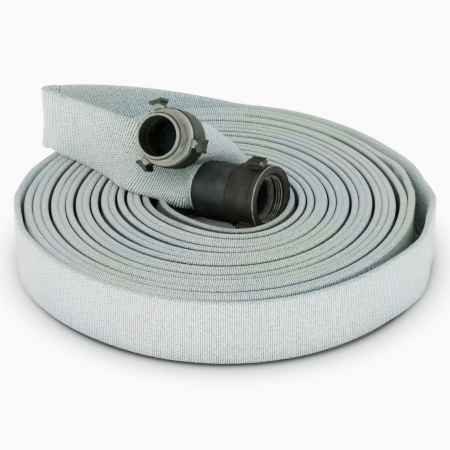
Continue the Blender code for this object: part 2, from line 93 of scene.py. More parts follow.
male_axis = Vector(MOUNTS["male_lip"]["axis"]).normalized()
male_turn = coupling_matrix(Vector((0, 0, 0)), male_axis)
male_tail = Vector(MOUNTS["male_lip"]["pos_m"]) - male_turn @ MALE_LIP
male_matrix = coupling_matrix(male_tail, male_axis)

# ---------------------------------------------------------------- camera

CAMERA_ELEVATION = math.radians(30)
CAMERA_DISTANCE = 2.2
CAMERA_AIM = hole_centre + Vector((0, 0, 39 * MM))
CAMERA_LENS = 170
CAMERA_REACH = 50


def make_camera():
    """The camera in front of the roll, looking down at it."""
    camera = bpy.data.objects.new("camera", bpy.data.cameras.new("camera"))
    bpy.context.scene.collection.objects.link(camera)
    back = Vector((0, -math.cos(CAMERA_ELEVATION), math.sin(CAMERA_ELEVATION)))
    camera.location = CAMERA_AIM + back * CAMERA_DISTANCE
    camera.rotation_euler = (-back).to_track_quat("-Z", "Y").to_euler()
    camera.data.lens = CAMERA_LENS
    camera.data.clip_end = CAMERA_REACH
    bpy.context.scene.camera = camera


make_camera()

# ---------------------------------------------------------------- hose route

HALF_THICKNESS = 3.5
LEVEL_Z = 35.6
ROW_SPACING = 3

# Roll: turns are counted inward from the bend at the back left
BEND_ANGLE = 150
LAST_TURN = 15.97
TURN_STEPS = 168
COIL_START = 205.8
COIL_PITCH = 7.85
COIL_SHIFT = -6.5
INNER_SHIFT_SHARE = 0.65

# Where along the roll a change eases in: first turn, number of turns
SHIFT_TURNS = (0.4, 0.9)
INNER_SHIFT_TURNS = (9, 7)
SECOND_TURN = (1, 1)

# The hole is narrower towards the front left, which the inner turns follow
PINCH_SIZE = 14
PINCH_ANGLE = 232
PINCH_HALF_WIDTH = 80
PINCH_TURNS = 9

# Unevenness of the roll: size, then its sines' rates in radians a turn, and the last one's start
RADIUS_WOBBLE = (0.35, 5, 3)
HEIGHT_WOBBLE = (0.9, 7.3, 2.1, 1)
LEAN_WOBBLE = (2.2, 4.1, 0.6)

# The outer wrap rises from the roll to the bend
RISE_ANGLE = 74
RISE_STEPS = 9
RISE_FOOT = 0.13
RISE_POWER = 1.25
BEND_RADIUS = 219.5
BEND_Z = 108.5

# Hairpin at the left of the hole, then the lead inside the last wrap
HAIRPIN_STEPS = 9
HAIRPIN_LIFT = 0.6
LEAD_STEPS = 17
LEAD_EASE_STEP = 8
LEAD_GAP = 9.5
LEAD_GAP_LOSS = 0.6
LEAD_LEAN = 76
LEAD_RISE_ANGLE = 420

# Where wraps stand off from each other: angle, half width, size, the turn that has this size, and
# how fast the size falls off in the turns inside that one
SLACK = (
    (0, 62, 7.5, 0.4167, 1.1),
    (178, 62, 6.5, 0.9167, 0.3),
    (192, 50, 3.2, 0.9167, 3.5),
    (98, 72, 9.5, 1.1667, 0.07),
)
MOST_SWELLING = 2.6
SWELLING_SHARE = 0.42
# Kinks of the outer wraps: turn, size, half width in turns
KINKS = (
    (0.358, 2.2, 0.030),
    (0.413, 5.0, 0.030),
    (0.477, 5.0, 0.045),
    (0.868, 1.6, 0.030),
    (0.925, 3.2, 0.034),
    (0.966, 3.4, 0.034),
    (1.363, 6.0, 0.032),
    (1.400, 3.0, 0.030),
    (1.93, 1.5, 0.04),
    (2.41, 1.8, 0.04),
)

# From the bend to the female tail
STRAP_ROUTE = (
    (-186.8, 116.8, 106.2, 90, 3.5),
    (-190.0, 111.4, 107.8, 90, 3.5),
    (-189.0, 107.0, 108.6, 90, 3.5),
    (-184.4, 102.8, 108.8, 89, 3.5),
    (-168, 90, 107.8, 86, 3.5),
    (-149, 76, 107.2, 84, 3.5),
    (-123, 55.5, 105.5, 78, 3.5),
    (-100, 41, 101.5, 61, 3.5),
    (-81, 33, 90.5, 34, 4.6),
    (-63, 30.5, 79, 14, 7.2),
    (-46, 28.5, 70, 8, 12.6),
)
# From the hole's right side to the male tail
LEAD_ROUTE = (
    (20, 71, 38, 90, 3.5),
    (7, 72.5, 45, 90, 4),
    (-3, 71.3, 57, 88, 5.8),
    (-10, 68.8, 71, 80, 8.8),
    (-16.5, 65.8, 85.3, 62, 12.2),
    (-25, 61.3, 99, 40, 16.8),
    (-33, 55, 107.7, 25, 21.3),
)
FEMALE_TAIL_LEAN = 15
MALE_TAIL_LEAN = 15
# Depth into the bowl and half thickness, outside the bowl's end and inside it
INNER_SHAPE = ((-8, 23.6), (12, 24.4), (32.9, 24.4))
TAIL_SHAPE = ((-13, 23), (-3, 25.2), (4, 25.6), (18, 25.6), (33, 25.6))


def smooth_step(x):
    x = np.clip(x, 0, 1)
    return x * x * (3 - 2 * x)


def eased(x, span):
    """0 before a span's start, rising smoothly to 1 at its end; a span is a start and a length."""
    start, length = span
    return float(smooth_step((x - start) / length))


def coil_angle(turn):
    """The angle that the roll has reached after a number of turns."""
    return BEND_ANGLE - 360 * turn


def window(angle, middle, half_width):
    """1 at the middle angle, falling smoothly to 0 at its half width."""
    off = abs((angle - middle + 180) % 360 - 180)
    return 0.5 + 0.5 * math.cos(math.pi * min(off / half_width, 1))


def polar(radius, angle):
    """The x and y of a point, from its radius and its angle in degrees."""
    return radius * math.cos(math.radians(angle)), radius * math.sin(math.radians(angle))


def coil_radius(turn):
    """The hose's radius on the roll, and how far it stands off the next turn in."""
    angle = coil_angle(turn)
    radius = COIL_START - COIL_PITCH * turn
    gap = 0
    for middle, half_width, size, first, fall in SLACK:
        push = size * math.exp(-fall * max(turn - first, 0)) * window(angle, middle, half_width)
        radius += push
        gap += push * (1 - math.exp(-fall))
    for kink, size, half_width in KINKS:
        radius += size * max(0, 1 - abs(turn - kink) / half_width)
    pinch = float(smooth_step(1 - (LAST_TURN - turn) / PINCH_TURNS))
    radius -= PINCH_SIZE * pinch * window(angle, PINCH_ANGLE, PINCH_HALF_WIDTH)
    size, turn_rate, angle_rate = RADIUS_WOBBLE
    radius += size * math.sin(turn_rate * turn) * math.sin(math.radians(angle_rate * angle))
    return radius, gap


def coil_point(turn):
    """A row of the route on the roll. The hose swells where it stands off the next turn in."""
    radius, gap = coil_radius(turn)
    x, y = polar(radius, coil_angle(turn))
    shift = COIL_SHIFT * eased(turn, SHIFT_TURNS)
    shift *= 1 - (1 - INNER_SHIFT_SHARE) * eased(turn, INNER_SHIFT_TURNS)
    size, rate, slow_rate, start = HEIGHT_WOBBLE
    z = LEVEL_Z + size + size * math.sin(rate * turn) * math.sin(slow_rate * turn + start)
    inner = eased(turn, SECOND_TURN)
    size, rate, start = LEAN_WOBBLE
    lean = 90 + size * math.sin(rate * turn + start) * inner
    half = HALF_THICKNESS + SWELLING_SHARE * min(gap, MOST_SWELLING) * inner
    return x + shift, y, z, lean, half


def rise_points():
    """The raised outer wrap, from the bend back down to the roll."""
    points = []
    foot = coil_point((BEND_ANGLE - RISE_ANGLE) / 360)
    foot_radius = math.hypot(foot[0], foot[1])
    for step in range(RISE_STEPS):
        share = 1 - (step + 0.5) / RISE_STEPS
        angle = RISE_ANGLE + (BEND_ANGLE - RISE_ANGLE) * share
        radius = foot_radius + (BEND_RADIUS - foot_radius) * share
        risen = max(share - RISE_FOOT, 0) / (1 - RISE_FOOT)
        z = foot[2] + (BEND_Z - foot[2]) * risen**RISE_POWER
        points.append((*polar(radius, angle), z, 90, HALF_THICKNESS))
    return points


def lead_points():
    """The lead, from the hairpin along the inside of the last wrap."""
    points = []
    start = coil_angle(LAST_TURN) % 360
    shift = COIL_SHIFT * INNER_SHIFT_SHARE
    for step in range(LEAD_STEPS + 1):
        angle = start + (LEAD_RISE_ANGLE - start) * step / LEAD_STEPS
        wrap = coil_point((BEND_ANGLE - angle) / 360 + math.ceil(LAST_TURN))
        gap = LEAD_GAP if step < LEAD_EASE_STEP else LEAD_GAP - LEAD_GAP_LOSS
        x, y = polar(math.hypot(wrap[0] - shift, wrap[1]) - gap, angle)
        upright = max(step - LEAD_EASE_STEP, 0) / (LEAD_STEPS - LEAD_EASE_STEP)
        lean = LEAD_LEAN + (90 - LEAD_LEAN) * upright
        points.append((x + shift, y, LEVEL_Z, lean, HALF_THICKNESS))
    return points


def hairpin_rows(end_of_roll, start_of_lead):
    """The half circle that turns the hose back at the left of the hole."""
    last, turned = np.array(end_of_roll[:2]), np.array(start_of_lead[:2])
    middle, outward = (last + turned) / 2, (last - turned) / 2
    forward = np.array((outward[1], -outward[0]))
    rows = []
    for step in range(1, HAIRPIN_STEPS):
        share = step / HAIRPIN_STEPS
        place = middle + outward * math.cos(math.pi * share) + forward * math.sin(math.pi * share)
        lean = 90 + (LEAD_LEAN - 90) * share
        rows.append(np.array((*place, LEVEL_Z + HAIRPIN_LIFT, lean, HALF_THICKNESS)))
    return rows


def tail_points(matrix, lean, shape):
    """The last stretch, straight along a coupling's axis into its bowl."""
    points = []
    for depth, half in shape:
        place = (matrix @ Vector((0, 0, depth * MM)) - hole_centre) / MM
        points.append((*place, lean, half))
    return points


def catmull_rom(points, spacing):
    """Rows along a smooth curve through the points, about one spacing apart."""
    rows = [np.array(p, float) for p in [points[0], *points, points[-1]]]
    curve = [rows[0]]
    for before, start, end, after in zip(rows, rows[1:], rows[2:], rows[3:]):
        steps = max(1, round(np.linalg.norm(end[:3] - start[:3]) / spacing))
        for step in range(1, steps + 1):
            t = step / steps
            bend = (2 * before - 5 * start + 4 * end - after) * t
            bend = bend + (3 * start - before - 3 * end + after) * t * t
            curve.append(0.5 * (2 * start + (end - before + bend) * t))
    return curve


def hose_rows():
    """Rows of the route along the whole hose, from the female tail to the male tail."""
    outer = list(reversed(tail_points(female_matrix, FEMALE_TAIL_LEAN, TAIL_SHAPE)))
    outer += reversed(STRAP_ROUTE)
    outer = [(*p[:3], 180 - p[3], p[4]) for p in outer]
    outer += rise_points()
    first_turn = (BEND_ANGLE - RISE_ANGLE) / 360
    count = round((LAST_TURN - first_turn) * TURN_STEPS)
    coil = [coil_point(first_turn + i / TURN_STEPS) for i in range(count + 1)]
    rows = catmull_rom(outer + coil[:1], ROW_SPACING)
    rows += [np.array(p, float) for p in coil[1:]]
    lead = lead_points()
    rows += hairpin_rows(coil[-1], lead[0])
    lead += list(LEAD_ROUTE) + tail_points(male_matrix, MALE_TAIL_LEAN, TAIL_SHAPE)
    rows += catmull_rom(lead, ROW_SPACING)
    return np.array(rows)


# ---------------------------------------------------------------- hose mesh

SIDE_POINTS = 7
END_POINTS = 7
RING_POINTS = 2 * (END_POINTS + SIDE_POINTS - 1)
LEAST_STRAIGHT = 0.05
MOST_HOLLOW = 0.35
HOLLOW_WIDTH = 20

# Painted shade on the hose's sides, where light doesn't reach, in millimetres: from how deep below
# the rim, how much shallower at the back, and from what height the hose stands clear of its
# neighbours
RIM_DEPTH = 1.9
RIM_FADE = 1.3
BACK_RIM_GAIN = 0.75
BACK_SPAN = (0, 60)
RAISED_SPAN = (38, 5)
OUTER_WRAP_RADIUS = 196
OUTER_WRAP_SHADE = 0.25
SECOND_WRAP_RADIUS = 186
SECOND_WRAP_SHADE = 0.6
# The lead stands in the dark of the hole and takes painted shade: its length in metres, its least
# painted shade
LEAD_LENGTH = 0.64
LEAD_SHADE = 0.4


def add_piece(mesh, name, body, material):
    """An object that rides on a body and takes a slot's finish."""
    mesh.materials.append(material)
    obj = bpy.data.objects.new(name, mesh)
    bpy.context.scene.collection.objects.link(obj)
    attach(obj, body)
    return obj


def section(half_width, radius):
    """A flattened ring of half circles joined by slightly hollow sides."""
    straight = max(half_width - radius, LEAST_STRAIGHT)
    hollow = MOST_HOLLOW * min(straight / HOLLOW_WIDTH, 1)
    ring = []
    for side in (1, -1):
        for step in range(END_POINTS):
            angle = math.radians(-90 + 180 * step / (END_POINTS - 1))
            angle += 0 if side > 0 else math.pi
            ring.append((side * straight + radius * math.cos(angle), radius * math.sin(angle)))
        for step in range(1, SIDE_POINTS):
            x = side * straight * (1 - 2 * step / SIDE_POINTS)
            dip = hollow * (1 - (x / straight) ** 2)
            ring.append((x, side * (radius - dip)))
    return np.array(ring)


def painted_shade_share(ring, half_width, place, to_end):
    """How much painted shade each point of a section takes: 0 on the rims, 1 on sides that face a
    neighbour.
    """
    spot = (Vector(place) - hole_centre) / MM
    covered = 1 - eased(spot.z, RAISED_SPAN)
    depth = (half_width - np.abs(ring[:, 0])) / MM
    depth = depth + BACK_RIM_GAIN * eased(spot.y, BACK_SPAN)
    share = smooth_step((depth - RIM_DEPTH) / RIM_FADE) * covered
    if to_end < LEAD_LENGTH:
        return np.maximum(share, LEAD_SHADE * covered)
    radius = math.hypot(spot.x, spot.y)
    if radius > OUTER_WRAP_RADIUS:
        faces_out = ring[:, 1] > 0
        return np.where(faces_out, 0, share * OUTER_WRAP_SHADE)
    if radius > SECOND_WRAP_RADIUS:
        return share * SECOND_WRAP_SHADE
    return share


def hose_frames():
    """Rows of the whole skin, inside the bowls too, with each row's place and direction."""
    rows = hose_rows()
    places = rows[:, :3] * MM + np.array(hole_centre)
    ahead = np.vstack([places[1:], places[-1:]])
    behind = np.vstack([places[:1], places[:-1]])
    tangents = ahead - behind
    tangents /= np.linalg.norm(tangents, axis=1)[:, None]
    female_end = np.array(tail_points(female_matrix, rows[0][3], INNER_SHAPE))
    male_end = np.array(tail_points(male_matrix, rows[-1][3], INNER_SHAPE[::-1]))
    rows = np.vstack([female_end, rows, male_end])
    extra = len(INNER_SHAPE)
    tangents = np.vstack([tangents[:1]] * extra + [tangents] + [tangents[-1:]] * extra)
    return rows, rows[:, :3] * MM + np.array(hole_centre), tangents


def hose_faces(along, girth_at):
    """Faces of the skin, and their corners' UVs: metres along the hose and round it."""
    faces, uvs, count = [], [], RING_POINTS
    for i in range(len(along) - 1):
        for j in range(count):
            k = (j + 1) % count
            faces.append((i * count + j, i * count + k, (i + 1) * count + k, (i + 1) * count + j))
            uvs += [
                (along[i], girth_at[i][j]),
                (along[i], girth_at[i][j + 1]),
                (along[i + 1], girth_at[i + 1][j + 1]),
                (along[i + 1], girth_at[i + 1][j]),
            ]
    for end in (0, len(along) - 1):
        loop = [end * count + j for j in range(count)]
        faces.append(loop if end else loop[::-1])
        uvs += [(along[end], 0)] * count
    return faces, uvs


def make_hose():
    """One closed skin from bowl to bowl, with cloth UVs and a painted-shade attribute."""
    rows, places, tangents = hose_frames()
    steps = np.linalg.norm(np.diff(places, axis=0), axis=1)
    along = np.concatenate([[0], np.cumsum(steps)])
    verts, painted_shade, girth_at = [], [], []
    for i, (place, tangent, row) in enumerate(zip(places, tangents, rows)):
        left = np.cross((0, 0, 1), tangent)
        left /= np.linalg.norm(left)
        lean, half = math.radians(row[3]), row[4]
        across = math.cos(lean) * left + math.sin(lean) * np.cross(tangent, left)
        normal = np.cross(tangent, across)
        half_width = max((HOSE_GIRTH / MM - TWO_PI * half) / 4 + half, half)
        ring = section(half_width, half) * MM
        verts.append(place + ring[:, :1] * across + ring[:, 1:] * normal)
        # Inside the bowls the skin takes full painted shade
        if min(i, len(rows) - 1 - i) < len(INNER_SHAPE):
            painted_shade.append(np.ones(RING_POINTS))
        else:
            painted_shade.append(painted_shade_share(ring, half_width * MM, place, along[-1] - along[i]))
        edges = np.linalg.norm(np.roll(ring, -1, axis=0) - ring, axis=1)
        girth_at.append(np.concatenate([[0], np.cumsum(edges)]))
    verts = np.array(verts)
    faces, uvs = hose_faces(along, girth_at)
    mesh = bpy.data.meshes.new("hose_jacket")
    mesh.from_pydata(verts.reshape(-1, 3).tolist(), [], faces)
    layer = mesh.uv_layers.new(name="cloth")
    layer.data.foreach_set("uv", np.array(uvs, dtype=np.float32).ravel())
    shade = mesh.attributes.new("painted_shade", "FLOAT", "POINT")
    shade.data.foreach_set("value", np.array(painted_shade, dtype=np.float32).ravel())
    mesh.update()
    mesh.shade_smooth()
    hose = add_piece(mesh, "hose_jacket", "root", jacket_material())
    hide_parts("hose_roll", "hose_outer_end", "hose_inner_end")
    return hose


# ---------------------------------------------------------------- materials


class Nodes:
    """Short calls that add and join shader nodes."""

    def __init__(self, name):
        self.material = bpy.data.materials.new(name)
        self.material.use_nodes = True
        self.tree = self.material.node_tree
        self.shader = self.tree.nodes["Principled BSDF"]

    def add(self, kind, **values):
        node = self.tree.nodes.new(kind)
        for key, value in values.items():
            setattr(node, key, value)
        return node

    def feed(self, socket, value):
        if isinstance(value, bpy.types.NodeSocket):
            self.tree.links.new(value, socket)
        elif isinstance(value, tuple) and len(value) == 3 and socket.type == "RGBA":
            socket.default_value = (*value, 1)
        else:
            socket.default_value = value

    def math(self, operation, *values):
        node = self.add("ShaderNodeMath", operation=operation)
        for socket, value in zip(node.inputs, values):
            self.feed(socket, value)
        return node.outputs[0]

    def mix(self, factor, a, b):
        """Colour a where the factor is 0, and b where it is 1."""
        node = self.add("ShaderNodeMix", data_type="RGBA")
        self.feed(node.inputs["Factor"], factor)
        self.feed(node.inputs[6], a)
        self.feed(node.inputs[7], b)
        return node.outputs[2]

    def ramp(self, value, low, high):
        """A smooth ramp from 0 at one value to 1 at another."""
        node = self.add("ShaderNodeMapRange", interpolation_type="SMOOTHSTEP")
        self.feed(node.inputs["Value"], value)
        node.inputs["From Min"].default_value = low
        node.inputs["From Max"].default_value = high
        return node.outputs["Result"]

    def noise(self, scale, detail=3, roughness=0.5, offset=(0, 0, 0)):
        """Noise on the object's coordinates; an offset makes it differ from its like."""
        node = self.add("ShaderNodeTexNoise")
        node.inputs["Scale"].default_value = scale
        node.inputs["Detail"].default_value = detail
        node.inputs["Roughness"].default_value = roughness
        moved = self.add("ShaderNodeVectorMath", operation="ADD")
        self.feed(moved.inputs[0], self.place())
        moved.inputs[1].default_value = offset
        self.feed(node.inputs["Vector"], moved.outputs[0])
        return node.outputs["Fac"]

    def attribute(self, name):
        return self.add("ShaderNodeAttribute", attribute_name=name).outputs["Fac"]

    def place(self):
        return self.add("ShaderNodeTexCoord").outputs["Object"]

    def bump(self, height, strength, distance, normal=None):
        node = self.add("ShaderNodeBump")
        node.inputs["Strength"].default_value = strength
        node.inputs["Distance"].default_value = distance
        self.feed(node.inputs["Height"], height)
        if normal:
            self.feed(node.inputs["Normal"], normal)
        return node.outputs["Normal"]

    def set(self, **sockets):
        """Feed the shader's inputs, named with _ for each space."""
        for name, value in sockets.items():
            self.feed(self.shader.inputs[name.replace("_", " ")], value)


# Weave: distances between ribs along the hose and between picks round it, and the picks' stagger
RIB_PITCH = 2.14 * MM
PICK_PITCH = 2.7 * MM
TWILL_STEP = 0.34

CLOTH_WHITE = (0.83, 0.92, 0.91)
CLOTH_GREEN = (0.67, 0.90, 0.70)
CLOTH_BLUE = (0.65, 0.87, 0.92)
CLOTH_NEAR_FEMALE_TAIL = (0.56, 0.77, 0.64)
CLOTH_DIRT = (0.30, 0.28, 0.20)
BETWEEN_THREADS = (0.04, 0.06, 0.055)
# Colour of the painted shade between wraps, in the lead and inside the bowls
SHADE_BETWEEN_WRAPS = (0.03, 0.045, 0.04)
# The first stretch from the female tail is tinted darker and greener: where this ends, in metres
TAIL_TINT_END = (0.30, 0.42)

MALE_COAT = (0.024, 0.031, 0.026)
MALE_BARE = (0.155, 0.172, 0.122)
BOWL_COAT = (0.026, 0.030, 0.028)
BOWL_BARE = (0.16, 0.165, 0.13)
SWIVEL_COAT = (0.021, 0.022, 0.018)
SWIVEL_BARE = (0.22, 0.22, 0.17)
COAT_BROWN = (0.024, 0.021, 0.015)
COAT_SCUFF = (0.10, 0.10, 0.08)
COAT_GLOSS = (0.12, 0.12, 0.12)
BARE_GLOSS = (1.0, 1.0, 1.0)


def jacket_material():
    """White woven jacket: staggered picks over ribs, tinted patches, dirt, and painted shade
    between wraps.
    """
    n = Nodes("woven_jacket")
    split = n.add("ShaderNodeSeparateXYZ")
    n.feed(split.inputs[0], n.add("ShaderNodeUVMap", uv_map="cloth").outputs[0])
    along, around = split.outputs[0], split.outputs[1]
    ribs = n.math("MULTIPLY", along, TWO_PI / RIB_PITCH)
    rows = n.math("MULTIPLY", around, TWO_PI / PICK_PITCH)
    lean_left = n.math("COSINE", n.math("MULTIPLY_ADD", ribs, TWILL_STEP, rows))
    lean_right = n.math("COSINE", n.math("MULTIPLY_ADD", ribs, TWILL_STEP - 1, rows))
    weave = n.math("MULTIPLY_ADD", n.math("COSINE", ribs), 0.36, 0.5)
    weave = n.math("MULTIPLY_ADD", n.math("ADD", lean_left, lean_right), 0.19, weave)
    weave = n.math("ADD", weave, n.math("SUBTRACT", n.noise(420, 3, 0.7), 0.5))

    green = n.ramp(n.noise(8, 2), 0.44, 0.62)
    blue = n.ramp(n.noise(10, 2, offset=(3.1, 1.7, 0.4)), 0.46, 0.64)
    # The cloth is tinted darker and greener towards the female tail
    near_tail = n.math("SUBTRACT", 1.0, n.ramp(along, *TAIL_TINT_END))
    thread = n.mix(blue, n.mix(green, CLOTH_WHITE, CLOTH_GREEN), CLOTH_BLUE)
    thread = n.mix(n.math("MULTIPLY", near_tail, 0.7), thread, CLOTH_NEAR_FEMALE_TAIL)
    colour = n.mix(n.ramp(weave, 0.22, 0.66), BETWEEN_THREADS, thread)
    dirt = n.ramp(n.noise(30, 6, 0.75), 0.60, 0.80)
    colour = n.mix(n.math("MULTIPLY", dirt, 0.35), colour, CLOTH_DIRT)
    # Painted shade: the hose's sides between wraps, the lead in the hole and the skin inside the
    # bowls turn dark
    colour = n.mix(n.attribute("painted_shade"), colour, SHADE_BETWEEN_WRAPS)

    creases = n.bump(n.noise(22, 3, 0.55), 0.8, 9 * MM)
    n.set(Base_Color=colour, Roughness=0.86, Normal=n.bump(weave, 1.0, 0.7 * MM, creases))
    n.set(Sheen_Weight=0.1, Specular_IOR_Level=0.25)
    return n.material


def coupling_material(name, coat_colour, bare_colour, brownness):
    """Hard-coated aluminium, mottled and scuffed, rubbed bare where the wear attribute says."""
    n = Nodes(name)
    blotch = n.ramp(n.noise(60, 5, 0.7), 0.40, 0.68)
    brown = n.ramp(n.noise(22, 3, offset=(0.7, 2.9, 1.3)), 0.42, 0.62)
    grain = n.noise(420, 6, 0.8)
    scuffs = n.ramp(grain, 0.66, 0.80)
    coat = n.mix(n.math("MULTIPLY", blotch, 0.6), coat_colour, tuple(1.9 * c for c in coat_colour))
    coat = n.mix(n.math("MULTIPLY", brown, brownness), coat, COAT_BROWN)
    coat = n.mix(n.math("MULTIPLY", scuffs, 0.3), coat, COAT_SCUFF)
    stain = n.ramp(n.noise(150, 5, 0.75), 0.42, 0.75)
    bare = n.mix(stain, bare_colour, tuple(0.6 * c for c in bare_colour))

    ragged = n.math("MULTIPLY_ADD", n.noise(260, 4), 0.5, -0.25)
    rubbed = n.ramp(n.math("ADD", n.attribute("wear"), ragged), 0.38, 0.62)
    rough = n.math("MULTIPLY_ADD", grain, 0.25, n.math("MULTIPLY_ADD", rubbed, -0.12, 0.42))
    n.set(Base_Color=n.mix(rubbed, coat, bare), Roughness=rough)
    n.set(Metallic=n.math("MULTIPLY_ADD", rubbed, -0.15, 0.75))
    n.set(Specular_Tint=n.mix(rubbed, COAT_GLOSS, BARE_GLOSS), Specular_IOR_Level=0.22)
    n.set(Normal=n.bump(grain, 0.22, 0.12 * MM))
    return n.material


def grainy_material(name, colour, roughness, metallic, scale, second):
    """One finish with mottling and fine grain, for the small inner parts."""
    n = Nodes(name)
    patch = n.ramp(n.noise(scale, 5, 0.7), 0.38, 0.66)
    fine = n.noise(scale * 8, 4)
    rough = n.math("MULTIPLY_ADD", fine, 0.2, roughness - 0.1)
    n.set(Base_Color=n.mix(patch, colour, second), Roughness=rough, Metallic=metallic)
    n.set(Normal=n.bump(fine, 0.3, 0.1 * MM))
    return n.material


# ---------------------------------------------------------------- couplings

RING_STEPS = 144
CORNER_STEPS = 3
CORNER_SHARE = 0.45
THREAD_PITCH = 25.4 / 9 * MM
THREAD_ROWS = 12
THREAD_TOP = 1.25
THREAD_FLANK = 4.2
THREAD_FADE_LOW = 0.8
THREAD_FADE_HIGH = 0.5
NO_THREAD = (0, 0, 0, 0)
LUG_EDGE = 0.7 * MM
SHARP_ANGLE = math.radians(38)
# Half of a lug's T-shaped end: depth below its tip, half width
LUG_HALF_OUTLINE = (
    (11.0, 4.4),
    (7.2, 3.9),
    (5.6, 4.0),
    (4.6, 4.9),
    (4.1, 6.6),
    (3.3, 7.5),
    (1.4, 7.6),
    (0.3, 7.0),
    (0.0, 6.0),
    (0.5, 3.4),
    (0.7, 0.0),
)

# In millimetres. Profiles: radius, z, corner rounding. Threads: low end, high end, root, crest.
# Lugs: tip radius, low end, high end, angle of the first one in degrees
MALE_PROFILE = (
    (20.9, 57, 0.5), (23.0, 57, 0.6), (23.4, 55.6, 0.3), (23.4, 54.6, 0), (23.4, 40.6, 0),
    (23.4, 39.2, 0.3), (28.6, 39.2, 0.8), (29.6, 38.2, 0.6), (29.6, 34.4, 0.6), (28.9, 33.6, 0.4),
    (30.4, 32.6, 0.6), (31, 30.5, 0.9), (31, 10, 2), (30.2, 4, 2), (29.0, 0.9, 0.8),
    (28.2, 0, 0.4), (27, 0, 0.4), (26.3, 1.2, 0.3), (26.3, 38, 0.2), (20.9, 38, 0.3),
)
MALE_THREAD = (40.6, 54.6, 23.4, 25.25)
MALE_LUGS = (41, 20, 38.6, 30)
FEMALE_BOWL_PROFILE = (
    (20.9, 61.4, 0.4), (26.6, 61.4, 0.5), (27.2, 60.6, 0.4), (27.2, 43.6, 0.4), (30.1, 43.2, 0.8),
    (31, 42.2, 0.8), (31, 12, 2), (30.3, 4, 2), (29.0, 0.9, 0.8), (28.2, 0, 0.4), (27, 0, 0.4),
    (26.3, 1.2, 0.3), (26.3, 38, 0.2), (20.9, 38, 0.3),
)
SWIVEL_PROFILE = (
    (34.4, 81, 0.8), (35.4, 80, 0.8), (35.4, 74.5, 1.2), (34.2, 72.6, 1.6), (34, 46, 1.5),
    (32.6, 43.6, 0.8), (27.6, 43.6, 0.3), (27.6, 62.4, 0.2), (26.3, 62.5, 0.2), (26.3, 67.0, 0.2),
    (25.6, 67.4, 0), (25.6, 79.2, 0), (26.4, 80.2, 0.3), (27.4, 81, 0.5),
)
SWIVEL_THREAD = (67.4, 79.2, 25.6, 23.8)
SWIVEL_LUGS = (43.5, 60, 78, 0)


def ramp(x, low, high):
    """0 up to the low value, 1 from the high one, and straight between them."""
    return min(max((x - low) / (high - low), 0), 1)


def rounded(points):
    """A profile's rows, radius and z, with each corner turned into a short arc."""
    rows = []
    for i, (radius, z, corner) in enumerate(points):
        here = np.array((radius, z))
        before, after = np.array(points[i - 1][:2]), np.array(points[(i + 1) % len(points)][:2])
        room_in, room_out = np.linalg.norm(before - here), np.linalg.norm(after - here)
        cut = min(corner, CORNER_SHARE * room_in, CORNER_SHARE * room_out)
        if cut <= 0:
            rows.append((radius, z))
            continue
        start = here + (before - here) / room_in * cut
        end = here + (after - here) / room_out * cut
        for step in range(CORNER_STEPS + 1):
            t = step / CORNER_STEPS
            spot = (1 - t) ** 2 * start + 2 * t * (1 - t) * here + t * t * end
            rows.append(tuple(spot))
    return rows


def thread_wave(turn, z, low, high):
    """0 at a thread's root and 1 at its crest, dying out at both ends of the thread."""
    phase = (z / THREAD_PITCH - turn) % 1
    ridge = min(max(THREAD_TOP - THREAD_FLANK * abs(phase - 0.5), 0), 1)
    fade_low = ramp(z - low, 0, THREAD_FADE_LOW * THREAD_PITCH)
    fade_high = ramp(high - z, 0, THREAD_FADE_HIGH * THREAD_PITCH)
    return ridge * fade_low * fade_high


def profile_rows(points, low, high, root):
    """A rounded profile's rows, and whether each is threaded, with close rows along its thread."""
    rows = [(r, z, False) for r, z in rounded(points)]
    if high <= low:
        return rows
    steps = round((high - low) / THREAD_PITCH * THREAD_ROWS)
    cut = [(root, low + (high - low) * i / steps, True) for i in range(steps + 1)]
    spots = [(round(r / MM, 4), round(z / MM, 4)) for r, z, _ in rows]
    at_low = spots.index((round(root / MM, 4), round(low / MM, 4)))
    at_high = spots.index((round(root / MM, 4), round(high / MM, 4)))
    if at_high < at_low:
        cut.reverse()
    return rows[: min(at_low, at_high)] + cut + rows[max(at_low, at_high) + 1 :]


def turned_mesh(name, profile, thread):
    """A closed ring turned from a profile, with a helical thread."""
    points = [(r * MM, z * MM, corner * MM) for r, z, corner in profile]
    low, high, root, crest = (value * MM for value in thread)
    rows = profile_rows(points, low, high, root)
    verts, faces, steps = [], [], RING_STEPS
    for radius, z, threaded in rows:
        for step in range(steps):
            turn = step / steps
            reach = radius
            if threaded:
                reach += (crest - root) * thread_wave(turn, z, low, high)
            angle = TWO_PI * turn
            verts.append((reach * math.cos(angle), reach * math.sin(angle), z))
    for i in range(len(rows)):
        j = (i + 1) % len(rows)
        for step in range(steps):
            k = (step + 1) % steps
            faces.append((i * steps + step, i * steps + k, j * steps + k, j * steps + step))
    mesh = bpy.data.meshes.new(name)
    mesh.from_pydata(verts, [], faces)
    bm = bmesh.new()
    bm.from_mesh(mesh)
    bmesh.ops.recalc_face_normals(bm, faces=bm.faces)
    bm.to_mesh(mesh)
    bm.free()
    return mesh


def lug_mesh(tip, low, high, degrees):
    """A T-shaped rocker lug, extruded along the coupling, with softened edges."""
    half = [(tip * MM - depth * MM, width * MM) for depth, width in LUG_HALF_OUTLINE]
    outline = half + [(x, -y) for x, y in reversed(half[:-1])]
    bm = bmesh.new()
    rings = [[bm.verts.new((x, y, z * MM)) for x, y in outline] for z in (low, high)]
    count = len(outline)
    for i in range(count):
        j = (i + 1) % count
        bm.faces.new((rings[0][i], rings[0][j], rings[1][j], rings[1][i]))
    caps = [bm.faces.new(rings[0]), bm.faces.new(rings[1])]
    bmesh.ops.recalc_face_normals(bm, faces=bm.faces)
    rim = [edge for face in caps for edge in face.edges]
    bmesh.ops.bevel(bm, geom=rim, offset=LUG_EDGE, segments=3, affect="EDGES", profile=0.5)
    bmesh.ops.rotate(bm, verts=bm.verts, matrix=Matrix.Rotation(math.radians(degrees), 3, "Z"))
    mesh = bpy.data.meshes.new("lug")
    bm.to_mesh(mesh)
    bm.free()
    return mesh


